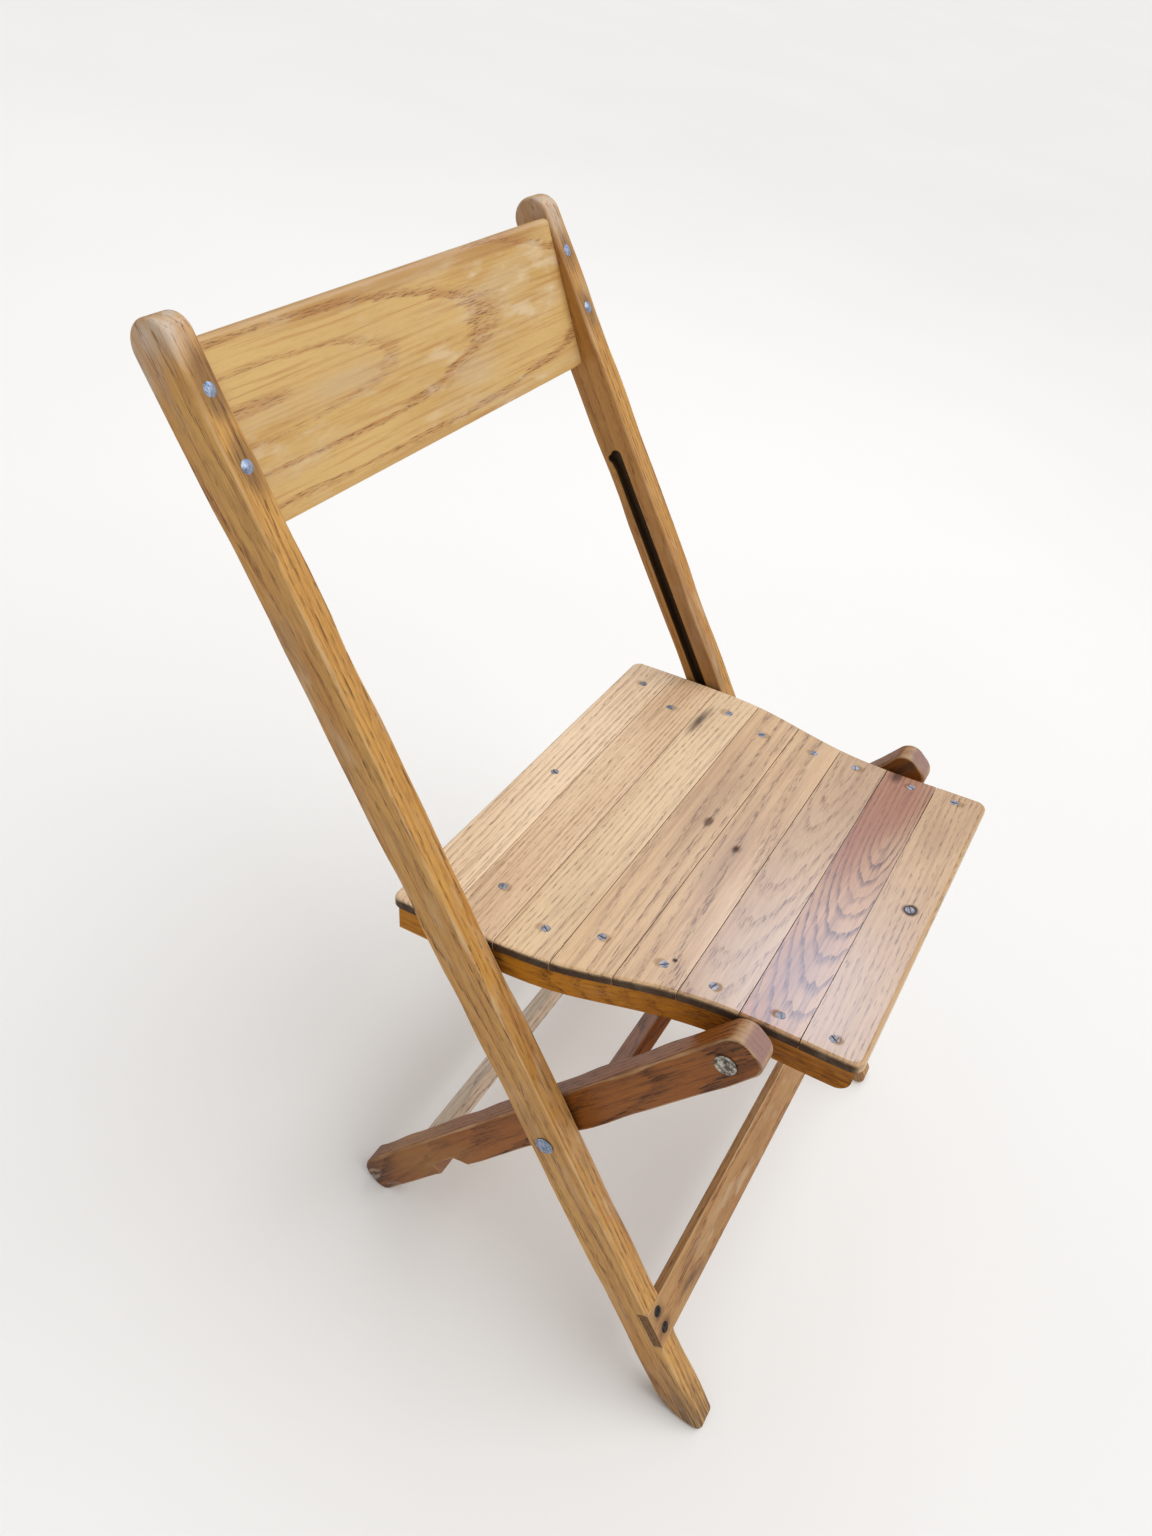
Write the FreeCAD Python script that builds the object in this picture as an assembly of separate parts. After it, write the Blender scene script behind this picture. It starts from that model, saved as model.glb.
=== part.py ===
import FreeCAD, Part
import os, math

# Folding slat-seat chair, millimetres.  +Z up, the sitter faces -Y, so the sitter's right is -X.
# Three side-view frames are used, all with X across the chair:
#   post frame  Y = rearward from the posts' front face, Z = along the post from the tip of its foot
#   leg frame   Y = along the rear leg towards its foot, Z = square to it, origin at the leg pivot
#   seat frame  Y = rearward along the seat, Z = square to it, origin at the top of the front edge

os.makedirs("parts", exist_ok=True)
V = FreeCAD.Vector
X_AXIS = V(1, 0, 0)

# ---- driving sizes ----
overall_width = 460.0          # over the posts' outer faces
post_length = 971.0            # foot tip to rounded top
post_width = 34.0              # side view
post_thickness = 23.0
lean_deg = 37.0                # of the posts from vertical
leg_width = 36.0
leg_thickness = 23.0
leg_slope_deg = 20.8           # of the leg below the posts' normal
seat_depth = 362.0
seat_slope_deg = 28.8          # of the seat above the posts' normal
slat_count = 8
slat_thickness = 7.5
rail_height = 23.0
board_height = 122.0           # backrest
board_thickness = 15.0
board_tilt_deg = 8.5           # more upright than the posts

# ---- clearances and small stock ----
floor_flat = 1.0               # depth worn off each rounded foot
post_leg_gap = 3.5             # filled by a spacer washer
running_clearance = 0.05       # radial, round a pivot shank
axial_clearance = 0.35
seat_side_clearance = 2.0      # seat to post, each side
slat_gap = 0.7
slat_overhang = 2.5            # slat ends beyond the rails
shank_radius = 4.0
washer_thickness = 1.0
nail_radius = 1.6
nail_head_radius = 4.8
nail_head_height = 1.2
screw_radius = 1.75
screw_head_radius = 3.7
screw_head_height = 2.2
pin_radius = 2.75              # seat guide pins
groove_width = 11.0
groove_depth = 9.0

# ---- derived positions ----
half_width = overall_width / 2
post_inner = half_width - post_thickness
leg_outer = post_inner - post_leg_gap
leg_inner = leg_outer - leg_thickness
pivot_a = (0.545 * post_width, 0.3378 * post_length)             # leg pivot, post frame
pivot_b = (pivot_a[0] - 175.0, pivot_a[1] + 70.0)                # seat pivot
groove_y = 0.579 * post_width
slat_pitch = seat_depth / slat_count
rail_bottom = -slat_thickness - rail_height
pin_rise = rail_bottom + 2.0 * pin_radius                        # guide pin height, seat frame
leg_centre = 3.8                                                 # leg centre line above its pivot
seat_rear_half = post_inner - seat_side_clearance
seat_front_half = leg_inner - 9.5
rail_inner = seat_front_half - 28.0


def turned(point, degrees):
    """A side-view point turned about the frame's origin."""
    a = math.radians(degrees)
    return (point[0] * math.cos(a) - point[1] * math.sin(a), point[0] * math.sin(a) + point[1] * math.cos(a))


def from_frame(point, origin, degrees):
    """A side-view point of a turned frame, in the post frame."""
    p = turned(point, degrees)
    return (origin[0] + p[0], origin[1] + p[1])


def into_frame(point, origin, degrees):
    """A post-frame point in the side view of a turned frame."""
    return turned((point[0] - origin[0], point[1] - origin[1]), -degrees)


leg_b = into_frame(pivot_b, pivot_a, -leg_slope_deg)
seat_b = (0.231 * seat_depth, -slat_thickness - 8.1)             # seat pivot, seat frame
seat_origin = from_frame(turned(seat_b, seat_slope_deg + 180.0), pivot_b, 0.0)
# the guide pin sits where the groove's centre line crosses the pin's height on the rail
pin_along = (groove_y - seat_origin[0] + pin_rise * math.sin(math.radians(seat_slope_deg))) \
    / math.cos(math.radians(seat_slope_deg))
pin_post = from_frame((pin_along, pin_rise), seat_origin, seat_slope_deg)


# ---- shape helpers ----
def arc(centre, radius, start, end):
    """Side-view arc edge from start to end degrees, drawn through its middle."""
    def at(deg):
        a = math.radians(deg)
        return V(0, centre[0] + radius * math.cos(a), centre[1] + radius * math.sin(a))
    return Part.Arc(at(start), at((start + end) / 2.0), at(end)).toShape()


def line(p, q):
    return Part.makeLine(V(0, p[0], p[1]), V(0, q[0], q[1]))


def side_extrude(edges, x0, x1):
    """Extrude a closed side-view outline from x0 to x1."""
    face = Part.Face(Part.Wire(Part.__sortEdges__(edges)))
    solid = face.extrude(V(x1 - x0, 0, 0))
    solid.translate(V(x0, 0, 0))
    return solid


def polygon(points, x0, x1):
    closed = list(points) + [points[0]]
    return side_extrude([line(p, q) for p, q in zip(closed, closed[1:])], x0, x1)


def box(x0, x1, y0, y1, z0, z1):
    return Part.makeBox(x1 - x0, y1 - y0, z1 - z0, V(x0, y0, z0))


def rod(x0, x1, radius, y=0.0, z=0.0):
    """Cylinder along X between x0 and x1."""
    return Part.makeCylinder(radius, abs(x1 - x0), V(min(x0, x1), y, z), X_AXIS)


def dome(base, outward, radius, height):
    """Low spherical cap with its flat at base, bulging along outward."""
    ball = (radius * radius + height * height) / (2.0 * height)
    cap = Part.makeSphere(ball, base - outward * (ball - height))
    keep = Part.makeCylinder(radius, height, base, outward)
    return cap.common(keep)


def mirrored(shape):
    return shape.mirror(V(0, 0, 0), X_AXIS)


def placed(shape, origin, degrees):
    """Move a shape from a turned frame into the post frame."""
    out = shape.copy()
    out.rotate(V(0, 0, 0), X_AXIS, degrees)
    out.translate(V(0, origin[0], origin[1]))
    return out


def in_leg(shape):
    return placed(shape, pivot_a, -leg_slope_deg)


def in_seat(shape):
    return placed(shape, seat_origin, seat_slope_deg)


# ---- posts (post frame), built on the +X side and mirrored ----
heel_radius = 1.5 * post_width
heel_centre = (post_width - heel_radius, heel_radius * math.sin(math.acos(1.0 - post_width / heel_radius)))
heel_end = -math.degrees(math.acos(1.0 - post_width / heel_radius))
top_radius = post_width / 2
top_centre = (top_radius, post_length - top_radius)
post_blank = side_extrude([
    arc(heel_centre, heel_radius, heel_end, 0.0),
    line((post_width, heel_centre[1]), (post_width, top_centre[1])),
    arc(top_centre, top_radius, 0.0, 180.0),
    line((0.0, top_centre[1]), (0.0, 0.0)),
], post_inner, half_width)
tip_edges = [e for e in post_blank.Edges
             if e.BoundBox.XLength > 1.0 and e.BoundBox.YMax < 0.01 and e.BoundBox.ZMax < 0.01]
post_blank = post_blank.makeFillet(0.2 * post_width, tip_edges)

# routed groove: a straight run with a half-round foot and a short hook towards the rear at its head
groove_foot = pin_post[1] - 6.0
groove_head = 0.7655 * post_length
groove_r = groove_width / 2
groove = side_extrude([
    line((groove_y - groove_r, groove_foot), (groove_y - groove_r, groove_head)),
    arc((groove_y, groove_head), groove_r, 180.0, 0.0),
    line((groove_y + groove_r, groove_head), (groove_y + groove_r, groove_foot)),
    arc((groove_y, groove_foot), groove_r, 0.0, -180.0),
], post_inner - 1.0, post_inner + groove_depth)
hook_r = 0.36 * groove_width
hook = Part.makeCylinder(hook_r, groove_depth + 1.0, V(post_inner - 1.0, groove_y + 0.45 * groove_width,
                                                      groove_head - 0.1 * groove_width), X_AXIS)

# backrest board: top front edge just behind the posts' faces, let into both posts
dado = 14.0
board_top = (1.5, post_length - 21.0)
board_profile = [from_frame(p, board_top, board_tilt_deg) for p in
                 ((0, 0), (board_thickness, 0), (board_thickness, -board_height), (0, -board_height))]
board_end = post_inner + dado
backrest_board = polygon(board_profile, -board_end, board_end)
ease = 5.0
top_edges = [e for e in backrest_board.Edges
             if abs(e.BoundBox.ZMin - e.BoundBox.ZMax) < 0.01 and e.BoundBox.XLength > board_end
             and e.BoundBox.ZMin > board_top[1] - 0.5]
backrest_board = backrest_board.makeFillet(ease, top_edges)

# front stretcher: let into the posts' front faces, standing a little proud
stretcher_height = 38.0
stretcher_depth = 10.0
stretcher_proud = 1.0
stretcher_low = 0.1102 * post_length
front_stretcher = box(-half_width + 0.4, half_width - 0.4, -stretcher_proud, stretcher_depth - stretcher_proud,
                      stretcher_low, stretcher_low + stretcher_height)


def face_nail(x, z, face_y, length):
    """Nail driven rearward into a front face at (x, z)."""
    shank = Part.makeCylinder(nail_radius, length, V(x, face_y, z), V(0, 1, 0))
    return shank.fuse(dome(V(x, face_y, z), V(0, -1, 0), nail_head_radius, nail_head_height))


nail_x = post_inner + 0.45 * post_thickness
board_nails = [face_nail(nail_x, post_length * f, 0.0, post_width - 6.0) for f in (0.9475, 0.8972)]
stretcher_nails = [face_nail(nail_x, stretcher_low + stretcher_height * f, -stretcher_proud, post_width - 9.0)
                   for f in (0.78, 0.30)]

# leg pivot rivet: tight in the post, running in the leg
rivet_tail = 2.0
outer_washer = rod(half_width, half_width + washer_thickness, 7.6, *pivot_a).cut(
    rod(half_width - 1, half_width + washer_thickness + 1, shank_radius, *pivot_a))
rivet_inner = leg_inner - axial_clearance - washer_thickness
pivot_rivet = rod(rivet_inner, half_width + washer_thickness, shank_radius, *pivot_a)
pivot_rivet = pivot_rivet.fuse(dome(V(half_width + washer_thickness, *pivot_a), V(1, 0, 0), 6.2, 2.4))
pivot_rivet = pivot_rivet.fuse(dome(V(rivet_inner, *pivot_a), V(-1, 0, 0), 6.0, rivet_tail))
inner_washer = rod(rivet_inner, rivet_inner + washer_thickness, 8.0, *pivot_a).cut(
    rod(rivet_inner - 1, rivet_inner + 2, shank_radius, *pivot_a))
spacer_washer = rod(leg_outer + axial_clearance, post_inner, 10.0, *pivot_a).cut(
    rod(leg_outer, post_inner + 1, shank_radius, *pivot_a))

post = post_blank
for cutter in [groove, hook, backrest_board, front_stretcher,
               rod(post_inner - 1, half_width + 1, shank_radius, *pivot_a)] + board_nails + stretcher_nails:
    post = post.cut(cutter)
for nail in board_nails:
    backrest_board = backrest_board.cut(nail).cut(mirrored(nail))
for nail in stretcher_nails:
    front_stretcher = front_stretcher.cut(nail).cut(mirrored(nail))

# ---- how the chair stands: the posts touch the floor at the lowest point of their rounded heels ----
lean = math.radians(lean_deg)
contact = (heel_centre[0] + heel_radius * math.sin(lean), heel_centre[1] - heel_radius * math.cos(lean))
lift = contact[0] * math.sin(lean) - contact[1] * math.cos(lean) - floor_flat
rear_most = top_centre[1] * math.sin(lean) + top_centre[0] * math.cos(lean) + top_radius


def world(point):
    """A post-frame side-view point in the finished chair."""
    p = turned(point, -lean_deg)
    return (round(p[0] - rear_most / 2, 3), round(p[1] + lift, 3))


# ---- rear legs (leg frame), long enough for the foot's lower corner to reach the floor ----
leg_low = leg_centre - leg_width / 2
leg_high = leg_centre + leg_width / 2
head_radius = 0.39 * leg_width
foot_radius = 0.33 * leg_width
leg_head = leg_b[0] - 0.75 * leg_width
leg_dip = math.radians(lean_deg + leg_slope_deg)
leg_below_pivot = foot_radius + (world(pivot_a)[1] + (leg_low + foot_radius) * math.cos(leg_dip)
                                 - foot_radius + floor_flat) / math.sin(leg_dip)
leg_blank = side_extrude([
    line((leg_head + head_radius, leg_low), (leg_below_pivot - foot_radius, leg_low)),
    arc((leg_below_pivot - foot_radius, leg_low + foot_radius), foot_radius, -90.0, 0.0),
    line((leg_below_pivot, leg_low + foot_radius), (leg_below_pivot, leg_high - foot_radius)),
    arc((leg_below_pivot - foot_radius, leg_high - foot_radius), foot_radius, 0.0, 90.0),
    line((leg_below_pivot - foot_radius, leg_high), (leg_head + head_radius, leg_high)),
    arc((leg_head + head_radius, leg_high - head_radius), head_radius, 90.0, 180.0),
    line((leg_head, leg_high - head_radius), (leg_head, leg_low + head_radius)),
    arc((leg_head + head_radius, leg_low + head_radius), head_radius, 180.0, 270.0),
], leg_inner, leg_outer)
notch_depth = 0.31 * leg_width
notch_start, notch_end = 0.51 * leg_below_pivot, 0.66 * leg_below_pivot
notch = polygon([(notch_start - 1.2, leg_low - 1.0), (notch_start + 12.0, leg_low + notch_depth),
                 (notch_end, leg_low + notch_depth), (notch_end, leg_low - 1.0)], leg_inner - 1, leg_outer + 1)

leg_dado = 8.0
rear_start = 0.715 * leg_below_pivot
rear_stretcher = box(-leg_inner - leg_dado, leg_inner + leg_dado, rear_start, rear_start + 38.0, -5.5, 5.5)
mid_start = leg_b[0] + 126.0
mid_stretcher = box(-leg_inner - leg_dado, leg_inner + leg_dado, mid_start, mid_start + 30.0, -2.0, 9.0)


# seat pivot bolt: tight in the leg and its bushing, running in the seat rail
rail_outer_front = seat_front_half - slat_overhang
bolt_inner = rail_inner - axial_clearance - washer_thickness
bolt_washer = rod(leg_outer, leg_outer + washer_thickness, 8.5, *leg_b).cut(
    rod(leg_outer - 1, leg_outer + 2, shank_radius, *leg_b))
seat_bolt = rod(bolt_inner, leg_outer + washer_thickness, shank_radius, *leg_b)
seat_bolt = seat_bolt.fuse(dome(V(leg_outer + washer_thickness, *leg_b), V(1, 0, 0), 6.0, 1.7))
seat_bolt = seat_bolt.fuse(rod(bolt_inner - 4.0, bolt_inner, 6.2, *leg_b))
bolt_inner_washer = rod(bolt_inner, bolt_inner + washer_thickness, 7.4, *leg_b).cut(
    rod(bolt_inner - 1, bolt_inner + 2, shank_radius, *leg_b))
bushing = rod(rail_outer_front + 0.6, leg_inner, 8.0, *leg_b).cut(
    rod(rail_outer_front, leg_inner + 1, shank_radius, *leg_b))

rear_leg = leg_blank.cut(notch)
for cutter in [rod(leg_inner - 1, leg_outer + 1, shank_radius + running_clearance, 0.0, 0.0),
               rod(leg_inner - 1, leg_outer + 1, shank_radius, *leg_b),
               rear_stretcher, mid_stretcher]:
    rear_leg = rear_leg.cut(cutter)

# ---- seat (seat frame) ----
# half width along the seat: narrow between the legs, swelling to full width between the posts
swell = seat_rear_half - seat_front_half
outline = [(0.0, 0.0), (0.125, 0.0), (0.25, 0.0), (0.375, 0.15), (0.5, 0.50), (0.625, 0.84), (0.75, 0.96),
           (0.875, 1.0), (1.0, 1.0)]


def plan_face(inset, z, y0, y1, corner):
    """Plan outline of the seat inset from the slat ends, between y0 and y1, with rounded corners."""
    knots = [(seat_front_half - inset + swell * s, seat_depth * f) for f, s in outline]
    right = Part.BSplineCurve()
    right.interpolate([V(x, y, z) for x, y in knots])
    left = Part.BSplineCurve()
    left.interpolate([V(-x, y, z) for x, y in knots])
    front = Part.makeLine(V(-knots[0][0], 0, z), V(knots[0][0], 0, z))
    back = Part.makeLine(V(-knots[-1][0], seat_depth, z), V(knots[-1][0], seat_depth, z))
    solid = Part.Face(Part.Wire([front, right.toShape(), back, left.toShape()])).extrude(V(0, 0, 1.0))
    solid = solid.common(box(-half_width, half_width, y0, y1, z, z + 1.0))
    if corner > 0:
        upright = [e for e in solid.Edges if e.BoundBox.ZLength > 0.9 and e.BoundBox.XLength < 0.01]
        solid = solid.makeFillet(corner, upright)
    return solid


def plan_solid(inset, z0, z1, y0=0.0, y1=seat_depth, corner=0.0):
    slab = plan_face(inset, z0, y0, y1, corner)
    face = [f for f in slab.Faces if f.BoundBox.ZLength < 1e-4 and abs(f.BoundBox.ZMin - z0) < 1e-4][0]
    return face.extrude(V(0, 0, z1 - z0))


seat_top = plan_solid(0.0, -slat_thickness, 0.0, corner=9.0)
nose = [e for e in seat_top.Edges if e.BoundBox.YMax < 0.01 and abs(e.BoundBox.ZMin) < 0.01
        and e.BoundBox.ZMax < 0.01]
seat_top = seat_top.makeFillet(0.45 * slat_thickness, nose)

def screw(x, y, slot_deg, length=18.0):
    """Slotted countersunk screw driven down from the seat's top at (x, y)."""
    head = Part.makeCone(screw_head_radius, screw_radius, screw_head_height, V(x, y, 0), V(0, 0, -1))
    shank = Part.makeCylinder(screw_radius, length, V(x, y, 0), V(0, 0, -1))
    slot = box(x - screw_head_radius, x + screw_head_radius, y - 0.45, y + 0.45, -0.8, 0.1)
    slot.rotate(V(x, y, 0), V(0, 0, 1), slot_deg)
    return head.fuse(shank), slot


rail_mid = 0.5 * (rail_inner + rail_outer_front)
slat_rows = []
for k in range(slat_count):                       # k = 0 is the rear slat
    y_mid = seat_depth - (k + 0.5) * slat_pitch
    out = 15.0 if k in (0, 2) else (-7.0 if k == 1 else 0.0)
    slat_rows.append((rail_mid + out, y_mid + (3.0 if k % 2 else -3.0)))
screws, slots = [], []
for side in (-1, 1):
    for k, (x, y) in enumerate(slat_rows):
        body, slot = screw(side * x, y, 37.0 * k + 20.0 * side)
        screws.append(body)
        slots.append(slot)
apron_y = 0.052 * seat_depth
cross_y = 0.931 * seat_depth
centre_screws, centre_slots = [], []
for y, deg in ((apron_y, 25.0), (cross_y, 70.0)):
    body, slot = screw(0.0, y, deg)
    centre_screws.append(body)
    centre_slots.append(slot)

slats = []
for k in range(slat_count):
    y1 = seat_depth - k * slat_pitch
    slab = box(-half_width, half_width, y1 - slat_pitch + (slat_gap / 2 if k < slat_count - 1 else 0.0),
               y1 - (slat_gap / 2 if k else 0.0), -slat_thickness, 0.0)
    slat = seat_top.common(slab)
    for s in screws + centre_screws:
        if slat.BoundBox.intersect(s.BoundBox):
            slat = slat.cut(s)
    slats.append(slat)

rail_front, rail_back = 5.0, seat_depth - 6.0
rail_pair = plan_solid(slat_overhang, rail_bottom, -slat_thickness, rail_front, rail_back)
nose_r = 0.5 * rail_height
nose_cut = box(-half_width, half_width, rail_front - 1, rail_front + nose_r, rail_bottom - 1,
               rail_bottom + nose_r).cut(rod(-half_width, half_width, nose_r, rail_front + nose_r,
                                             rail_bottom + nose_r))
rail = rail_pair.cut(box(-half_width, rail_inner, -1, seat_depth + 1, rail_bottom - 1, 1)).cut(nose_cut)
guide_pin = rod(post_inner - 24.0, post_inner + groove_depth - 2.0, pin_radius, pin_along, pin_rise)
for cutter in [rod(rail_inner - 1, half_width, shank_radius + running_clearance, *seat_b), guide_pin] \
        + [s for s in screws if s.BoundBox.XMin > 0]:
    rail = rail.cut(cutter)

cross_stock = 18.0
front_apron = box(-rail_inner, rail_inner, apron_y - cross_stock / 2, apron_y + cross_stock / 2,
                  rail_bottom + 2.0, -slat_thickness).cut(centre_screws[0])
rear_cross_rail = box(-rail_inner, rail_inner, cross_y - cross_stock / 2, cross_y + cross_stock / 2,
                      rail_bottom + 2.0, -slat_thickness).cut(centre_screws[1])
slat_screws = [s.cut(t) for s, t in zip(screws, slots)]
middle_screws = [s.cut(t) for s, t in zip(centre_screws, centre_slots)]

# ---- gather the nodes in the post frame; "right" is the sitter's right, -X ----
nodes = {}


def pair(name, shape, put=lambda s: s):
    nodes[name + "_left"] = put(shape)
    nodes[name + "_right"] = put(mirrored(shape))


pair("post", post)
pair("backrest_nails", Part.makeCompound(board_nails))
pair("front_stretcher_nails", Part.makeCompound(stretcher_nails))
pair("pivot_rivet", pivot_rivet)
pair("pivot_washer", outer_washer)
pair("pivot_spacer", spacer_washer)
pair("pivot_inner_washer", inner_washer)
nodes["backrest_board"] = backrest_board
nodes["front_stretcher"] = front_stretcher
pair("rear_leg", rear_leg, in_leg)
pair("seat_bolt", seat_bolt, in_leg)
pair("seat_bolt_washer", bolt_washer, in_leg)
pair("seat_bolt_inner_washer", bolt_inner_washer, in_leg)
pair("seat_bushing", bushing, in_leg)
nodes["rear_stretcher"] = in_leg(rear_stretcher)
nodes["mid_stretcher"] = in_leg(mid_stretcher)
pair("seat_rail", rail, in_seat)
pair("guide_pin", guide_pin, in_seat)
nodes["front_apron"] = in_seat(front_apron)
nodes["rear_cross_rail"] = in_seat(rear_cross_rail)
for k, slat in enumerate(slats):
    nodes["slat_%d" % (k + 1)] = in_seat(slat)
nodes["slat_screws"] = in_seat(Part.makeCompound(slat_screws))
nodes["middle_screws"] = in_seat(Part.makeCompound(middle_screws))

# ---- stand the chair on the floor, centred over the origin ----
below = box(-overall_width, overall_width, -2 * post_length, 2 * post_length, -100.0, 0.0)
for name in sorted(nodes):
    shape = nodes[name]
    shape.rotate(V(0, 0, 0), X_AXIS, -lean_deg)
    shape.translate(V(0, -rear_most / 2, lift))
    if name.startswith(("post_", "rear_leg_")):
        shape = shape.cut(below)
    shape.exportStep("parts/%s.step" % name)

print("leg pivot", world(pivot_a), "seat pivot", world(pivot_b), "guide pin", world(pin_post))
print("seat front", world(seat_origin), "nodes", len(nodes))
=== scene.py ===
"""Looks for a slatted oak folding chair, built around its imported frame, in metres."""

import logging
import math
from dataclasses import dataclass, field, replace
from enum import Enum
from typing import Any, Iterable, Mapping, Optional, Union

import bpy
import numpy as np
from mathutils import Matrix, Vector


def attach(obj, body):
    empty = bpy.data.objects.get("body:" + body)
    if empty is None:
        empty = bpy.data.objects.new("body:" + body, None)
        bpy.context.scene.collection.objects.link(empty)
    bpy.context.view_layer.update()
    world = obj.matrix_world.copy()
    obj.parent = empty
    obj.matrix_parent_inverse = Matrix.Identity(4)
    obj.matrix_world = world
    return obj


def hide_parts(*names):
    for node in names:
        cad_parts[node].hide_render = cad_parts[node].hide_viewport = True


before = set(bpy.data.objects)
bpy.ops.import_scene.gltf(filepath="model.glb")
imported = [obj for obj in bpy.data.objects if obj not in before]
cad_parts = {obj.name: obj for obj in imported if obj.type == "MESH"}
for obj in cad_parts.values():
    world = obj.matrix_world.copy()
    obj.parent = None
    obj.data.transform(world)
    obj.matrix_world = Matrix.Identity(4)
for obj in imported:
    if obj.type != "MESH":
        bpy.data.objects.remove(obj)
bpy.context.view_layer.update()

log = logging.getLogger("folding_chair")

WELD_GAP = 2e-5
CORNER = math.radians(32.0)
CREASE = math.radians(42.0)
FLOOR_DROP = 0.0004
EVENNESS = 90

Colour = tuple[float, float, float]
Triple = tuple[float, float, float]
Pair = tuple[float, float]


def paint(red: int, green: int, blue: int) -> Colour:
    """Turns a colour of three 0 to 255 screen values into linear light.

    Args:
        red: Screen value of red.
        green: Screen value of green.
        blue: Screen value of blue.

    Returns:
        The colour as three linear values from 0 to 1.
    """
    screen = np.array([red, green, blue]) / 255.0
    linear = np.where(screen <= 0.04045, screen / 12.92, ((screen + 0.055) / 1.055) ** 2.4)
    return tuple(float(value) for value in linear)


class Side(Enum):
    """The two sides of the chair, as its sitter names them."""

    LEFT = 1.0
    RIGHT = -1.0

    @property
    def word(self) -> str:
        """The ending that a node's name has on this side."""
        return self.name.lower()

    @property
    def out(self) -> Triple:
        """Direction away from the chair on this side."""
        return (self.value, 0.0, 0.0)


def reverse(direction: Triple) -> Triple:
    """Gives the opposite direction."""
    return tuple(-value for value in direction)


def add(name: str, data: Any) -> bpy.types.Object:
    """Adds an object of that name and data to the scene."""
    made = bpy.data.objects.new(name, data)
    bpy.context.scene.collection.objects.link(made)
    return made


class Wire:
    """A socket's value, on which arithmetic adds Math nodes to the same tree."""

    def __init__(self, graph: "Graph", socket: bpy.types.NodeSocket) -> None:
        """Keeps the graph and the socket."""
        self.graph = graph
        self.socket = socket

    def _with(self, operation: str, first: "Term", second: "Term" = 0.0) -> "Wire":
        """Adds one Math node of two terms and gives its value."""
        return self.graph.node("ShaderNodeMath", {"operation": operation}, {0: first, 1: second})

    def __add__(self, other: "Term") -> "Wire":
        """Sum."""
        return self._with("ADD", self, other)

    def __radd__(self, other: float) -> "Wire":
        """Sum, reflected."""
        return self._with("ADD", other, self)

    def __sub__(self, other: "Term") -> "Wire":
        """Difference."""
        return self._with("SUBTRACT", self, other)

    def __rsub__(self, other: float) -> "Wire":
        """Difference, reflected."""
        return self._with("SUBTRACT", other, self)

    def __mul__(self, other: "Term") -> "Wire":
        """Product."""
        return self._with("MULTIPLY", self, other)

    def __rmul__(self, other: float) -> "Wire":
        """Product, reflected."""
        return self._with("MULTIPLY", other, self)

    def __truediv__(self, other: "Term") -> "Wire":
        """Quotient."""
        return self._with("DIVIDE", self, other)

    def __pow__(self, other: "Term") -> "Wire":
        """Power."""
        return self._with("POWER", self, other)

    def __abs__(self) -> "Wire":
        """Size without its sign."""
        return self._with("ABSOLUTE", self)

    def floor(self) -> "Wire":
        """Whole part."""
        return self._with("FLOOR", self)

    def fraction(self) -> "Wire":
        """Part after the whole one."""
        return self._with("FRACT", self)

    def most(self, other: "Term") -> "Wire":
        """The greater of two values."""
        return self._with("MAXIMUM", self, other)

    def rise(self, low: float, high: float) -> "Wire":
        """Goes smoothly from 0 at low to 1 at high, and stays there.

        Args:
            low: Value at which the rise starts.
            high: Value at which it ends.

        Returns:
            The smooth step of this value.
        """
        return self.graph.node(
            "ShaderNodeMapRange",
            {"interpolation_type": "SMOOTHSTEP"},
            {0: self, 1: low, 2: high},
        )


Term = Union[float, Wire]


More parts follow.
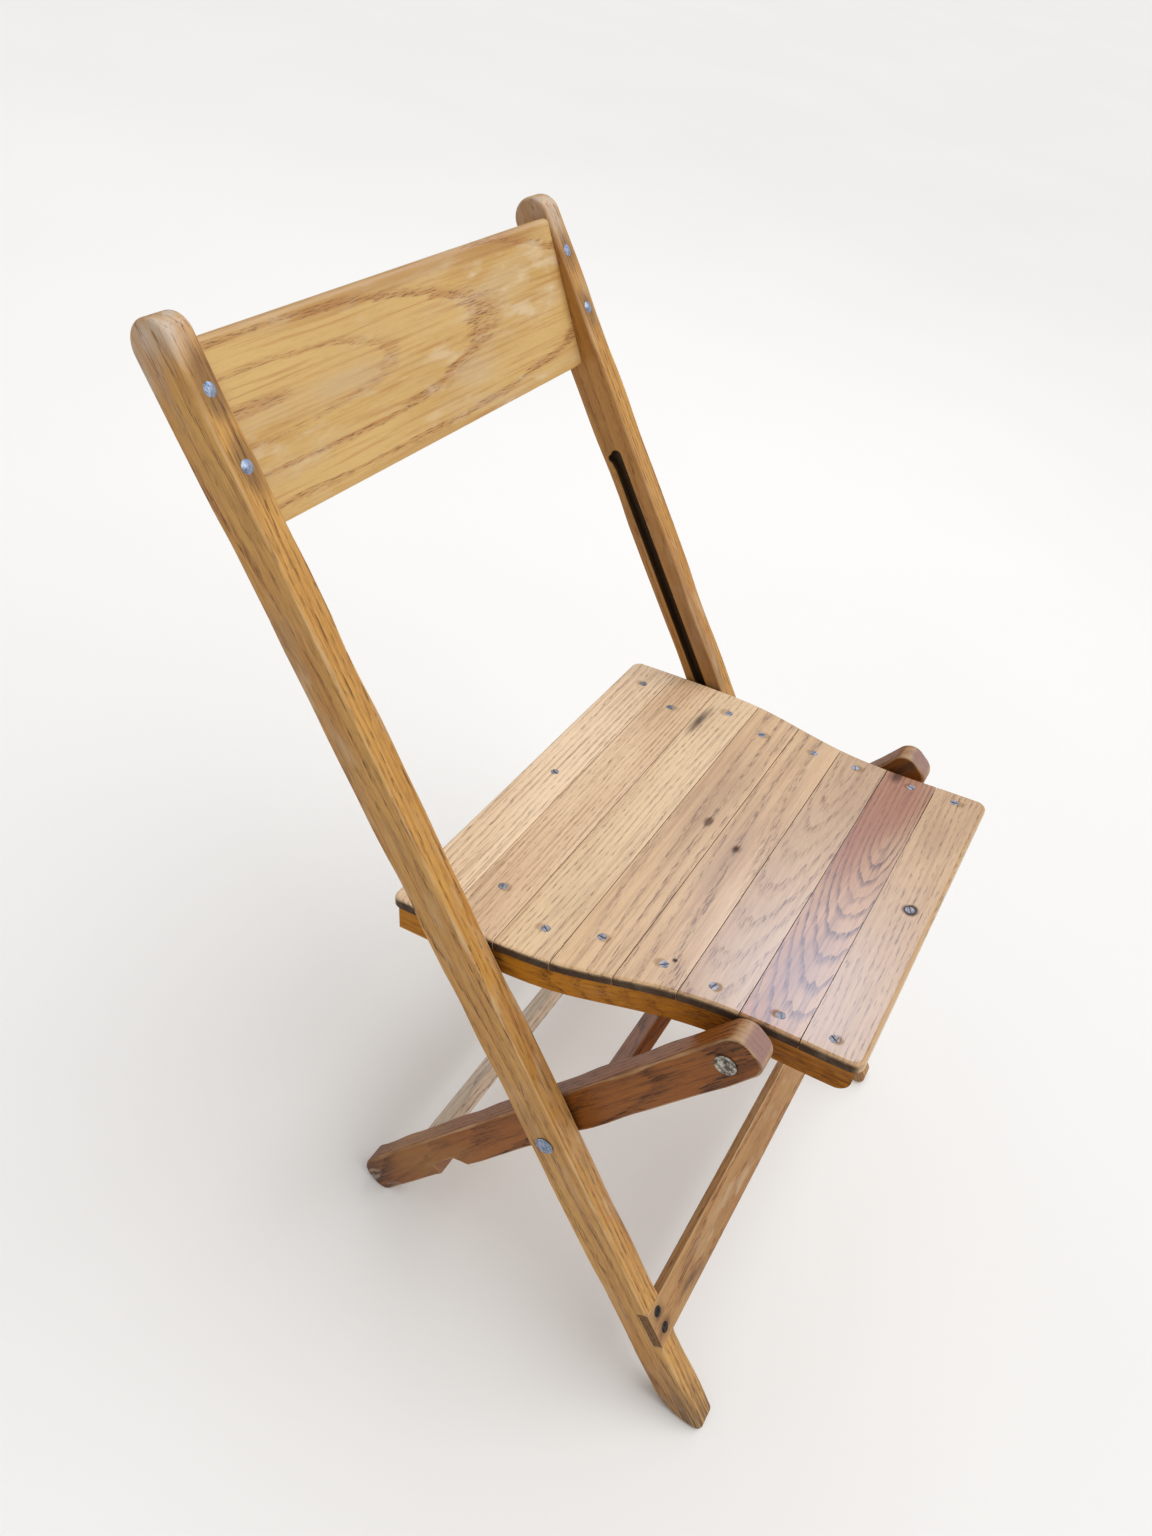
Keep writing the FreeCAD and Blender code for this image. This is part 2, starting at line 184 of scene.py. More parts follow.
class Graph:
    """One material's node tree, with the few node shapes that the finishes use."""

    def __init__(self, name: str) -> None:
        """Makes an empty material of that name."""
        self.material = bpy.data.materials.new(name)
        self.material.use_nodes = True
        self.tree = self.material.node_tree
        self.tree.nodes.clear()

    def node(
        self,
        kind: str,
        settings: Optional[Mapping[str, Any]] = None,
        sockets: Optional[Mapping[Union[int, str], Any]] = None,
        out: Union[int, str] = 0,
    ) -> Wire:
        """Adds any node: its settings are made first, then its sockets are set or linked.

        Args:
            kind: Blender's name of the node's type.
            settings: The node's own properties.
            sockets: Value or Wire for each input, by number or name.
            out: The output that is wanted.

        Returns:
            The output as a Wire.
        """
        made = self.tree.nodes.new(kind)
        for name, value in (settings or {}).items():
            setattr(made, name, value)
        for key, value in (sockets or {}).items():
            socket = made.inputs[key]
            if isinstance(value, Wire):
                self.tree.links.new(value.socket, socket)
            elif socket.type == "RGBA":
                socket.default_value = (*value, 1.0)
            else:
                socket.default_value = value
        return Wire(self, made.outputs[out] if made.outputs else None)

    def vector(self, operation: str, *terms: Any, out: str = "Vector") -> Wire:
        """Adds one Vector Math node of these terms and gives an output."""
        settings = {"operation": operation}
        return self.node("ShaderNodeVectorMath", settings, dict(enumerate(terms)), out)

    def place(self, lie: "Lie") -> Wire:
        """Gives coordinates along, across and through a member, from its centre."""
        spot = self.node("ShaderNodeTexCoord", out="Object")
        return self.node(
            "ShaderNodeMapping",
            {"vector_type": "TEXTURE"},
            {"Vector": spot, "Location": lie.centre, "Rotation": lie.turn.to_euler()},
        )

    def facing(self, lie: "Lie") -> tuple[Wire, Wire, Wire]:
        """Gives how far the surface faces along, across and through a member, unsigned."""
        normal = self.node("ShaderNodeTexCoord", out="Normal")
        along, across, through = (
            abs(self.vector("DOT_PRODUCT", normal, lie.turn.col[axis], out="Value"))
            for axis in range(3)
        )
        return along, across, through

    def split(self, vector: Wire) -> tuple[Wire, Wire, Wire]:
        """Splits a vector into its three values."""
        parts = self.node("ShaderNodeSeparateXYZ", sockets={0: vector})
        outs = parts.socket.node.outputs
        return Wire(self, outs[0]), Wire(self, outs[1]), Wire(self, outs[2])

    def scaled(self, vector: Wire, by: Triple, shift: float = 0.0) -> Wire:
        """Multiplies a vector by one number per axis, and moves it on by a seed."""
        return self.vector("MULTIPLY_ADD", vector, by, (shift, 1.7 * shift, 0.6 * shift))

    def noise(self, vector: Wire, by: Triple, seed: float, detail: float = 2.0) -> Wire:
        """Gives soft noise with so many cells to the metre on each axis.

        Args:
            vector: Where on the member, in metres.
            by: Cells to the metre along, across and through.
            seed: Any number, which picks the pattern.
            detail: Finer layers that are added.

        Returns:
            Noise from 0 to 1, around one half.
        """
        return self.node(
            "ShaderNodeTexNoise",
            {"noise_dimensions": "3D"},
            {"Vector": self.scaled(vector, by, seed), "Scale": 1.0, "Detail": detail},
        )

    def blend(self, share: Term, first: Any, second: Any) -> Wire:
        """Mixes two colours through a Mix node.

        Args:
            share: How much of the second colour shows, from 0 to 1.
            first: The colour underneath.
            second: The colour laid over it.

        Returns:
            The mixed colour.
        """
        return self.node(
            "ShaderNodeMix",
            {"data_type": "RGBA", "blend_type": "MIX", "clamp_factor": True},
            {0: share, 6: first, 7: second},
            out=2,
        )

    def close(self, height: Wire, depth: float, **shader: Any) -> bpy.types.Material:
        """Ends the tree with a bump and the shader, and hands the material over.

        Args:
            height: Relief from 0 to 1.
            depth: Height of a relief of 1, in metres.
            **shader: Sockets of the shader, with underscores for spaces.

        Returns:
            The finished material.
        """
        bump = self.node(
            "ShaderNodeBump", sockets={"Strength": 1.0, "Distance": depth, "Height": height}
        )
        sockets = {name.replace("_", " "): value for name, value in shader.items()}
        surface = self.node("ShaderNodeBsdfPrincipled", sockets={**sockets, "Normal": bump})
        self.node("ShaderNodeOutputMaterial", sockets={"Surface": surface})
        return self.material


@dataclass(frozen=True)
class Lie:
    """How a member lies: its centre, its half sizes, and its three own directions.

    Attributes:
        centre: Middle of the member.
        half: Half its length, width and thickness.
        turn: Matrix whose columns point along the grain, across the face and out of it.
    """

    centre: Triple
    half: Triple
    turn: Matrix

    @staticmethod
    def of(node: str, along: Triple, out: Triple) -> "Lie":
        """Reads a CAD node's lie from its points, for the two directions that are known.

        Args:
            node: Name of the node.
            along: Direction of its grain.
            out: Direction that its widest face looks to.

        Returns:
            The lie, whose centre is the middle of the node's extent on each direction.
        """
        grain, face = Vector(along).normalized(), Vector(out).normalized()
        turn = Matrix((grain, face.cross(grain), face)).transposed()
        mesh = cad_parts[node].data
        points = np.empty(3 * len(mesh.vertices), np.float32)
        mesh.vertices.foreach_get("co", points)
        own = points.reshape(-1, 3) @ np.array(turn)
        low, high = own.min(0), own.max(0)
        centre = np.array(turn) @ ((low + high) / 2.0)
        return Lie(tuple(map(float, centre)), tuple(map(float, (high - low) / 2.0)), turn)

    def at(self, share: float) -> Triple:
        """Gives the point at a share of the half length from the centre, near that end."""
        reach = self.half[0] * share - math.copysign(self.half[1], share)
        along, _, out = self.turn.col
        return tuple(Vector(self.centre) + along * reach + out * self.half[2])

    def spot(self, point: Triple) -> Triple:
        """Turns a point of the chair into the member's own coordinates."""
        away = Vector(point) - Vector(self.centre)
        return tuple(self.turn.transposed() @ away)


CHALK = paint(222, 206, 178)
BARE = paint(214, 182, 140)
BARE_GREY = paint(196, 180, 164)
IRON = paint(52, 32, 34)
END = paint(46, 28, 20)
SOIL = paint(66, 50, 40)
GREASE = paint(24, 20, 20)
# Painted shade, laid over the posts' inner faces.
PAINTED_INNER_SHADE = paint(152, 100, 44)
SUNNED = paint(160, 112, 56)
OLD_VARNISH = paint(156, 104, 52)


# Cells to the metre of each pattern in the wood: along the grain, across and through it.
STRAY: Triple = (2.2, 7.0, 7.0)
SWAY: Triple = (3.1, 9.0, 9.0)
JAGS: Triple = (13.0, 240.0, 240.0)
FIBRES: Triple = (10.0, 380.0, 380.0)
VESSELS: Triple = (90.0, 1000.0, 1000.0)
CLOUDS: Triple = (4.5, 17.0, 17.0)
BLOTCHES: Triple = (10.0, 46.0, 46.0)
SCUFFS: Triple = (26.0, 90.0, 90.0)


@dataclass(frozen=True)
class Stain:
    """A dark spot on a member's face.

    Attributes:
        spot: Its middle, in the member's own coordinates.
        size: Radius at which it has faded, in metres.
        core: Radius within which it is full.
        strength: How dark it is.
        stretch: How many times longer it is along the grain than across it.
        colour: Its colour.
    """

    spot: Triple
    size: float = 0.0085
    core: float = 0.0035
    strength: float = 0.5
    stretch: float = 1.0
    colour: Colour = IRON

    def away(self, g: Graph, p: Wire) -> Wire:
        """Gives the distance to its middle, shortened along the grain by the stretch."""
        x, y, z = self.spot
        squeezed = g.scaled(p, (1.0 / self.stretch, 1.0, 1.0))
        return g.vector("DISTANCE", squeezed, (x / self.stretch, y, z), out="Value")


@dataclass(frozen=True)
class Slot:
    """A routed groove in a member's inner face.

    Attributes:
        low: Where it starts along the member, from the member's centre.
        high: Where it ends.
        half: Half the width of the band that holds it.
        skin: Depth under the inner face at which it is fully dark.
    """

    low: float
    high: float
    half: float = 0.0125
    skin: float = 0.0016

    def mask(self, lie: Lie, along: Wire, across: Wire, through: Wire) -> Wire:
        """Gives 1 on the groove's walls and floor, and 0 on the member's outer skin.

        Args:
            lie: How the member lies.
            along: Place along the member.
            across: Place across its wide face.
            through: Place through its thickness, greatest at the outer face.

        Returns:
            The mask.
        """
        under = (through + lie.half[2]).rise(0.0002, self.skin)
        inside = 1.0 - (through + lie.half[2]).rise(0.012, 0.013)
        within = 1.0 - abs(across).rise(self.half, self.half + 0.0012)
        span = along.rise(self.low, self.low + 0.003)
        span = span * (1.0 - along.rise(self.high, self.high + 0.003))
        return under * inside * within * span


@dataclass(frozen=True)
class Oak:
    """Varnished, worn oak, cut from a log whose heart line is given for each member.

    Attributes:
        pale: Late wood under the varnish.
        deep: The same wood where the varnish is thicker.
        early: Porous bands of the growth rings.
        pore: The pores themselves, filled with old dirt.
        ring: Distance between growth rings, in metres.
        heart: Distance of the log's heart across and behind the face, in metres.
        dive: How fast the heart line comes nearer along the member.
        wander: How far rings stray along the member, in metres.
        teeth: Length of the jags at a ring's edge, in metres, measured across it.
        porous: Share of a ring over which its porous band fades.
        open: How many pores show between the porous bands.
        figure: How strongly the rings show.
        worn: How far edges are rubbed pale.
        chalk: How much of the face is scuffed whitish.
        grime: How much dirt lies in blotches.
        feet: Length at the low end that is dirty, in metres.
        crown: Length at the high end that hands have rubbed pale, in metres.
        ends: How strongly the end grain is coloured.
        end: Colour of the end grain.
        gloss: Roughness of the sound varnish.
        shine: Specular level of the varnish.
        coat: Weight of the clear coat.
        seed: Picks this member's pattern.
    """

    pale: Colour
    deep: Colour
    early: Colour
    pore: Colour
    ring: float = 0.006
    heart: tuple[float, float] = (0.0, 0.04)
    dive: float = 0.0
    wander: float = 0.012
    teeth: float = 0.0012
    porous: float = 0.6
    open: float = 0.3
    figure: float = 0.6
    worn: float = 0.6
    chalk: float = 0.15
    grime: float = 0.2
    feet: float = 0.0
    crown: float = 0.0
    ends: float = 0.55
    end: Colour = END
    gloss: float = 0.42
    shine: float = 0.3
    coat: float = 0.08
    seed: float = 0.0

    def material(
        self,
        name: str,
        lie: Lie,
        stains: Iterable["Stain"] = (),
        slot: Optional["Slot"] = None,
    ) -> bpy.types.Material:
        """Makes the oak of one member.

        Growth rings are the distance to the heart line, divided by the ring distance. Along the
        member that line dives towards the face, so flat-sawn faces show arches. Each ring starts
        sharply with a porous band and fades into late wood.

        Args:
            name: Name of the material.
            lie: How the member lies.
            stains: Dark spots on the member, around iron or over a knot.
            slot: A groove in the member's inner face, black with old grease; where one is given,
                the whole inner face also gets painted shade.

        Returns:
            The material.
        """
        g = Graph(name)
        p = g.place(lie)
        along, across, through = g.split(p)
        face_x, face_y, face_z = g.facing(lie)
        seed = self.seed

        stray = (g.noise(p, STRAY, seed, 1.0) - 0.5) * (2.0 * self.wander)
        sway = (g.noise(p, SWAY, seed + 5.0, 1.0) - 0.5) * (2.0 * self.wander)
        jags = (g.noise(p, JAGS, seed + 9.0, 2.0) - 0.5) * (2.0 * self.teeth)
        off = across + stray - self.heart[0]
        deep = (through + sway + self.heart[1] + along * self.dive).most(0.001)
        reach = (off * off + deep * deep) ** 0.5 + jags
        turns = reach / self.ring
        part = turns.fraction()
        band = part.rise(0.0, 0.07) * (1.0 - part.rise(0.1, self.porous))
        year = g.node(
            "ShaderNodeTexWhiteNoise", {"noise_dimensions": "1D"}, {"W": turns.floor()}, out="Value"
        )
        early = band * (0.45 + year * 0.55)

        fibre = g.noise(p, FIBRES, seed + 2.0, 5.0)
        fine = g.noise(p, VESSELS, seed + 3.0, 3.0)
        cloud = g.noise(p, CLOUDS, seed + 4.0, 3.0)
        pores = fine.rise(0.52, 0.62) * (self.open + early * 0.9)
        blotch = g.noise(p, BLOTCHES, seed + 6.0, 5.0)
        dirt = blotch.rise(0.56, 0.78) * self.grime
        scuff = g.noise(p, SCUFFS, seed + 7.0, 6.0)
        chalky = (scuff.rise(0.5, 0.72) * 0.75 + blotch.rise(0.46, 0.7) * 0.4) * self.chalk
        chalky = chalky * cloud.rise(0.38, 0.6)

        flatness = face_x.most(face_y).most(face_z)
        ridge = 1.0 - flatness.rise(0.84, 0.985)
        nicks = scuff.rise(0.36, 0.62)
        rubbed = ridge * (0.35 + nicks * 0.65) * self.worn
        end_grain = face_x.rise(0.55, 0.9)

        colour = g.blend(cloud.rise(0.3, 0.72), self.pale, self.deep)
        for share, tint in (
            (early * self.figure, self.early),
            (fibre.rise(0.48, 0.72) * 0.5, self.early),
            ((1.0 - fibre).rise(0.5, 0.72) * 0.5, self.pale),
            (pores * 0.7, self.pore),
            (dirt, self.pore),
            (end_grain * self.ends, self.end),
            (chalky, CHALK),
            (rubbed * 0.65, BARE),
        ):
            colour = g.blend(share, colour, tint)
        if self.crown > 0.0:
            high = (along - lie.half[0] + self.crown + (blotch - 0.5) * 0.06).rise(0.0, self.crown)
            colour = g.blend(high * (0.25 + nicks * 0.5) * (1.2 - pores), colour, BARE_GREY)
        bare = chalky + rubbed * 0.7 + end_grain
        for stain in stains:
            away = stain.away(g, p) + (blotch - 0.5) * stain.size * 1.4
            spread = 1.0 - away.rise(stain.core, stain.size)
            colour = g.blend(spread * stain.strength, colour, stain.colour)
            if stain.colour == IRON:
                bare = bare + spread
        if self.feet > 0.0:
            low = 1.0 - (along + lie.half[0] + (blotch - 0.5) * 0.09).rise(0.0, self.feet)
            colour = g.blend(low * (0.2 + fibre.rise(0.35, 0.6) * 0.6), colour, SOIL)
            colour = g.blend(low * scuff.rise(0.56, 0.66) * 0.45, colour, BARE_GREY)
        if slot is not None:
            # Painted shade: the inner face, which looks in under the chair, is darkened towards
            # this colour.
            hidden = 1.0 - (through + lie.half[2]).rise(0.0002, 0.0024)
            colour = g.blend(hidden * 0.55, colour, PAINTED_INNER_SHADE)
            grease = slot.mask(lie, along, across, through)
            colour = g.blend(grease * 0.9, colour, GREASE)

        rough = self.gloss + pores * 0.2 + chalky * 0.35 + rubbed * 0.2 + (blotch - 0.5) * 0.16
        rough = rough + end_grain * 0.25
        relief = 0.7 - pores * 0.5 - early * 0.16 + (fibre - 0.5) * 0.22 - rubbed * nicks * 0.4
        return g.close(
            relief,
            0.0004,
            Base_Color=colour,
            Roughness=rough,
            Coat_Weight=(1.0 - bare).most(0.0) * self.coat,
            Coat_Roughness=0.24,
            Specular_IOR_Level=self.shine,
        )


@dataclass(frozen=True)
class Steel:
    """Old steel hardware, with dull plating, pits, and a rim that is painted darker.

    Attributes:
        bright: Plating where it is sound.
        dull: Plating where it is dark.
        rust: Rust in the pits, and the darker colour laid round the rim.
        pitted: How much of it is rusty or pitted.
        gloss: Roughness of the sound plating.
    """

    bright: Colour
    dull: Colour
    rust: Colour
    pitted: float = 0.3
    gloss: float = 0.38

    def material(self, name: str, lie: Lie) -> bpy.types.Material:
        """Makes the steel of one node, whose heads look out of the lie's face.

        Args:
            name: Name of the material.
            lie: How the hardware lies.

        Returns:
            The material.
        """
        g = Graph(name)
        p = g.place(lie)
        _, _, out = g.facing(lie)
        mottle = g.noise(p, (260.0, 260.0, 260.0), 1.0, 3.0)
        pits = g.noise(p, (900.0, 900.0, 900.0), 2.0, 3.0).rise(0.55, 0.7) * self.pitted
        # Darker towards the rim, where the head turns away from the face.
        rim = 1.0 - out.rise(0.35, 0.92)
        colour = g.blend(mottle.rise(0.3, 0.7), self.bright, self.dull)
        colour = g.blend(pits, colour, self.rust)
        colour = g.blend(rim * 0.75, colour, self.rust)
        return g.close(
            mottle * 0.4 - pits,
            0.0003,
            Base_Color=colour,
            Roughness=self.gloss + mottle * 0.2 + pits * 0.3,
            Metallic=0.85 - pits * 0.5 - rim * 0.3,
        )


def honey(**changes: Any) -> Oak:
    """Gives the chair's usual honey-coloured oak, with some of its fields changed."""
    usual = Oak(
        pale=paint(203, 154, 80),
        deep=paint(178, 122, 50),
        early=paint(146, 88, 36),
        pore=paint(84, 50, 26),
    )
    return replace(usual, **changes)


def eased(node: str, width: float, segments: int = 3) -> bpy.types.Object:
    """Eases a CAD node's arrises with modifiers, which leave its own mesh as it is.

    Args:
        node: Name of the node.
        width: Width of the eased arris, in metres.
        segments: Facets across the arris.

    Returns:
        The node's object.
    """
    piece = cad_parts[node]
    modify(piece, "weld", "WELD", merge_threshold=WELD_GAP)
    modify(piece, "smooth", "NODES", node_group=smooth_group())
    modify(
        piece, "ease", "BEVEL",
        width=width, segments=segments, limit_method="ANGLE", angle_limit=CORNER,
    )
    modify(piece, "even", "WEIGHTED_NORMAL", keep_sharp=False, weight=EVENNESS)
    return piece


def modify(piece: bpy.types.Object, name: str, kind: str, **settings: Any) -> None:
    """Adds a modifier of that name and kind, with these settings."""
    made = piece.modifiers.new(name, kind)
    for key, value in settings.items():
        setattr(made, key, value)


def smooth_group() -> bpy.types.GeometryNodeTree:
    """Gives the one node group that shades a mesh smooth, made when it is first asked for."""
    name = "shade_smooth"
    if name in bpy.data.node_groups:
        return bpy.data.node_groups[name]
    group = bpy.data.node_groups.new(name, "GeometryNodeTree")
    group.interface.new_socket("Geometry", in_out="INPUT", socket_type="NodeSocketGeometry")
    group.interface.new_socket("Geometry", in_out="OUTPUT", socket_type="NodeSocketGeometry")
    start, end = group.nodes.new("NodeGroupInput"), group.nodes.new("NodeGroupOutput")
    shade = group.nodes.new("GeometryNodeSetShadeSmooth")
    group.links.new(start.outputs[0], shade.inputs["Geometry"])
    group.links.new(shade.outputs[0], end.inputs[0])
    return group


def arc(centre: Pair, radius: float, start: float, end: float, steps: int = 18) -> np.ndarray:
    """Gives points on a circle: its centre plus the radius times the cosine and sine.

    Args:
        centre: Middle of the circle.
        radius: Its radius, in metres.
        start: Angle of the first point, in degrees.
        end: Angle of the last point.
        steps: Number of points.

    Returns:
        One row per point.
    """
    angle = np.radians(np.linspace(start, end, steps))
    return np.array(centre) + radius * np.stack([np.cos(angle), np.sin(angle)], 1)


def run(first: Pair, last: Pair, gap: float = 0.006) -> np.ndarray:
    """Gives evenly spaced points between two points, without the two themselves."""
    steps = max(2, int(math.dist(first, last) / gap))
    share = np.linspace(0.0, 1.0, steps + 1)[1:-1, None]
    return np.array(first) * (1.0 - share) + np.array(last) * share


@dataclass(frozen=True)
class Slab:
    """A member cut to an outline from a board, with arrises that use has rounded unevenly.

    Attributes:
        origin: Point of the chair from which the outline is drawn.
        first: Direction of the outline's first number.
        second: Direction of its second number.
        outline: Closed outline, counter-clockwise, one row per point.
        low: Where the board's first face lies on the chair's width.
        high: Where its second face lies.
        ease: Mean radius of the arrises, in metres.
        seed: Picks where they are more worn.
        rings: Facets round each arris.
        blunt: How much rounder the arrises are where the outline's second number is least.
    """

    origin: Triple
    first: Triple
    second: Triple
    outline: np.ndarray
    low: float
    high: float
    ease: float = 0.0024
    seed: int = 0
    rings: int = 5
    blunt: float = 0.0

    def mesh(self, name: str) -> bpy.types.Mesh:
        """Carries a profile with two quarter-round corners along the outline.

        Point (i, j) is outline point i, moved inward along its normal by the profile's inset j,
        at the profile's depth j. The inset is the arris radius times (1 - sin t) and the depth
        is that radius times (1 - cos t), for t from 0 to a right angle, and the other way round
        at the second face. The radius swells along the outline by a sum of seeded sines. What
        would reach under the floor is worn off flat.

        Args:
            name: Name of the mesh.

        Returns:
            The closed mesh, with a flat face at each end of the profile.
        """
        shape = self.outline
        step = np.roll(shape, -1, 0) - np.roll(shape, 1, 0)
        step /= np.linalg.norm(step, axis=1, keepdims=True)
        inward = np.stack([-step[:, 1], step[:, 0]], 1)
        way = np.cumsum(np.linalg.norm(shape - np.roll(shape, 1, 0), axis=1))
        way = way / way[-1] * 2.0 * np.pi
        chance = np.random.default_rng(self.seed)
        beats = np.arange(3, 27, 3)
        lift = chance.normal(0.0, 0.16, len(beats))[:, None] * np.sin(
            beats[:, None] * way + chance.uniform(0.0, 6.28, len(beats))[:, None]
        )
        above = shape[:, 1] - shape[:, 1].min()
        radius = self.ease * np.clip(1.0 + lift.sum(0), 0.55, 1.6)
        radius = radius * (1.0 + self.blunt * np.exp(-((above / 0.03) ** 2)))
        turn = np.linspace(0.0, np.pi / 2.0, self.rings + 1)
        inset = np.concatenate([1.0 - np.sin(turn), 1.0 - np.sin(turn[::-1])])
        depth = np.concatenate([1.0 - np.cos(turn), -(1.0 - np.cos(turn[::-1]))])
        base = np.repeat([self.low, self.high], self.rings + 1)
        flat = shape[None] + inward[None] * (inset[:, None] * radius[None])[..., None]
        across = base[:, None] + depth[:, None] * radius[None]
        place = (
            np.array(self.origin)
            + flat[..., :1] * np.array(self.first)
            + flat[..., 1:] * np.array(self.second)
            + across[..., None] * np.array(ACROSS)
        )
        place[..., 2] = np.maximum(place[..., 2], 0.0)
        rows, count = across.shape
        column = np.arange(count)
        after = np.roll(column, -1)
        base_row = (np.arange(rows - 1) * count)[:, None]
        near, far = base_row + column, base_row + after
        quads = np.stack([near, far, far + count, near + count], -1).reshape(-1, 4)
        ends = [column[::-1].tolist(), (column + (rows - 1) * count).tolist()]
        mesh = bpy.data.meshes.new(name)
        mesh.from_pydata(place.reshape(-1, 3).tolist(), [], quads.tolist() + ends)
        return mesh

    def piece(self, name: str, cutter: Optional["Slab"] = None) -> bpy.types.Object:
        """Makes the member's object, with a groove cut into it where one is given.

        Args:
            name: Name of the object.
            cutter: The space that a groove takes out.

        Returns:
            The object, which stands at the chair's origin.
        """
        made = add(name, self.mesh(name))
        if cutter is not None:
            tool = add("cutter", cutter.mesh("cutter"))
            modify(made, "cut", "BOOLEAN", operation="DIFFERENCE", solver="EXACT", object=tool)
            graph = bpy.context.evaluated_depsgraph_get()
            grooved = bpy.data.meshes.new_from_object(made.evaluated_get(graph))
            made.modifiers.clear()
            made.data = grooved
            bpy.data.objects.remove(tool)
        made.data.shade_smooth()
        made.data.set_sharp_from_angle(angle=CREASE)
        modify(made, "even", "WEIGHTED_NORMAL", keep_sharp=True, weight=EVENNESS)
        return made


def stand_in(
    made: bpy.types.Object, node: str, body: str, material: bpy.types.Material
) -> None:
    """Lets a new piece stand for a CAD node, dresses it and reports it.

    Args:
        made: The new piece.
        node: Name of the CAD node that it replaces.
        body: Name of the body it rides on.
        material: Its finish.
    """
    made.data.materials.clear()
    made.data.materials.append(material)
    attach(made, body)
    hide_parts(node)
    log.info("shaped %s for %s, %d faces", made.name, node, len(made.data.polygons))


def dress(node: str, material: bpy.types.Material) -> None:
    """Puts a material on every slot of a CAD node and reports it."""
    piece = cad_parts[node]
    for slot in piece.material_slots:
        slot.material = material
    log.info("dressed %s in %s", node, material.name)


@dataclass
class SideView:
    """A leaning part's own directions, seen from the side of the chair.

    Attributes:
        run: Direction along the part.
        rear: Direction square to it, in the side view.
    """

    run: Triple
    rear: Triple

    @property
    def front(self) -> Triple:
        """Direction opposite to rear."""
        return reverse(self.rear)


POST = SideView(run=(0.0, 0.6018, 0.7986), rear=(0.0, 0.7986, -0.6018))
LEG = SideView(run=(0.0, 0.5329, -0.8462), rear=(0.0, 0.8462, 0.5329))
SEAT = SideView(run=(0.0, 0.98978, -0.14263), rear=(0.0, 0.14263, 0.98978))
BOARD_OUT: Triple = (0.0, -0.8788, 0.4772)
ACROSS: Triple = (1.0, 0.0, 0.0)

PLATED = Steel(paint(168, 178, 198), paint(112, 126, 150), paint(60, 62, 72), 0.5, 0.42)
PITTED = Steel(paint(196, 190, 178), paint(84, 78, 72), paint(34, 28, 24), 1.0, 0.36)
SCREW = Steel(paint(166, 166, 172), paint(122, 120, 124), paint(54, 46, 44), 0.5, 0.46)
BLACKENED = Steel(paint(70, 64, 58), paint(40, 36, 34), paint(50, 34, 24), 0.6, 0.5)


